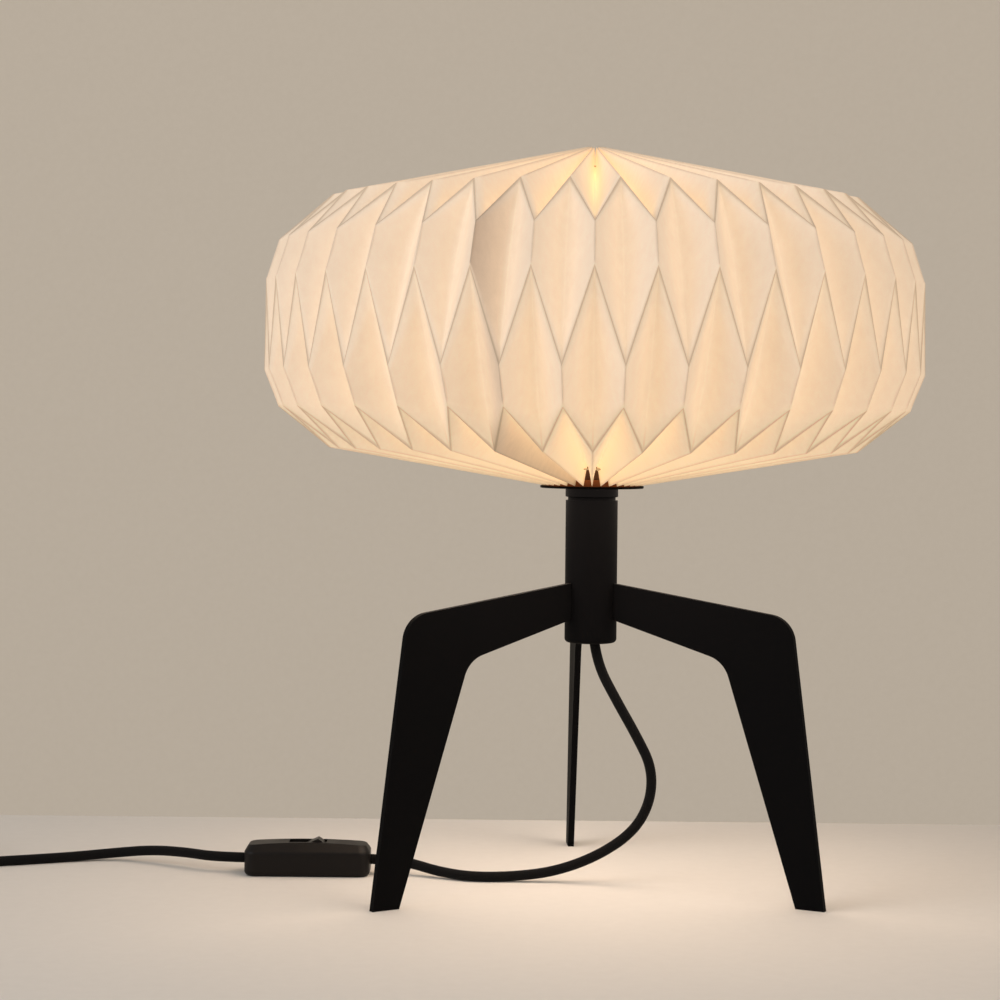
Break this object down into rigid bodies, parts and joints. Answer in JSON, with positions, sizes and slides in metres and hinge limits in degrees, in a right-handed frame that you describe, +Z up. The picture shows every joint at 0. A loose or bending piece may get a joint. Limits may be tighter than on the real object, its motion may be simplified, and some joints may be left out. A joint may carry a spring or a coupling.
{
  "type": "table lamp",
  "caption": "Table lamp with a drum shade of pleated paper on a black steel stem with flat legs, and a fabric cord with a rocker switch.",
  "frame": {"origin": "On the floor under the stem's axis, midway across the shade.", "axes": "+Z up along the stem. +Y points along the rear leg, away from the viewer. +X to the viewer's right."},
  "size_m": [0.803, 0.4, 0.4513],
  "materials": {
    "black_paint": "matte powder-coated steel",
    "black_plastic": "matte moulded",
    "zinc": "zinc-plated",
    "brass": "plain",
    "paper": "thick white paper, translucent",
    "thread": "cotton thread",
    "cord_sheath": "braided sleeve",
    "core_wire": "insulated",
    "bulb_glass": "frosted",
    "bulb_white": "smooth",
    "nickel": "nickel-plated",
    "porcelain": "unglazed"
  },
  "bodies": {
    "stem": {"leg_left": "black_paint", "leg_right": "black_paint", "leg_rear": "black_paint", "stem_tube": "black_paint", "stem_cap": "black_paint", "cord_bush": "black_plastic", "cord_grip": "black_plastic", "grip_screw": "zinc", "stem_collar": "black_paint", "shade_disc": "black_paint", "shade_gallery": "black_paint", "nipple": "zinc", "nipple_nut": "zinc", "lock_washer": "zinc", "holder_base": "black_plastic", "holder_core": "porcelain", "holder_terminal_screws": "zinc", "holder_skirt": "black_plastic", "holder_shell": "brass", "holder_tongue": "brass", "bulb_cap": "nickel", "bulb_insulator": "black_plastic", "bulb_contact": "brass", "bulb_neck": "bulb_white", "bulb_glass": "bulb_glass", "cord_inner": "cord_sheath", "lead_wires": "core_wire", "switch_lower": "black_plastic", "switch_upper": "black_plastic", "switch_pin": "zinc", "switch_cord_clamps": "zinc", "switch_clamp_screws": "zinc", "switch_contacts": "brass", "switch_terminals": "brass", "switch_terminal_screws": "brass", "switch_wires": "brass", "switch_case_screws": "zinc", "cord_lamp": "cord_sheath", "cord_mains": "cord_sheath", "cord_coil": "cord_sheath", "cord_tail": "cord_sheath", "coil_tie": "black_plastic", "plug_body": "black_plastic", "plug_relief": "black_plastic", "plug_pins": "nickel", "plug_pin_sleeves": "black_plastic"},
    "shade": {"shade_paper": "paper", "shade_seam": "paper", "gather_thread_low": "thread", "gather_thread_top": "thread"},
    "rocker": {"switch_rocker": "black_plastic"}
  },
  "joints": [
    {"name": "switch_tilt", "type": "hinge", "parent": "stem", "child": "rocker", "pos_m": [-0.172, 0.04, 0.01], "axis": [0.0471, 0.9989, 0], "range_deg": [0, 26]},
    {"name": "shade_lift", "type": "slide", "parent": "stem", "child": "shade", "axis": [0, 0, 1], "range_m": [0, 0.14]}
  ]
}
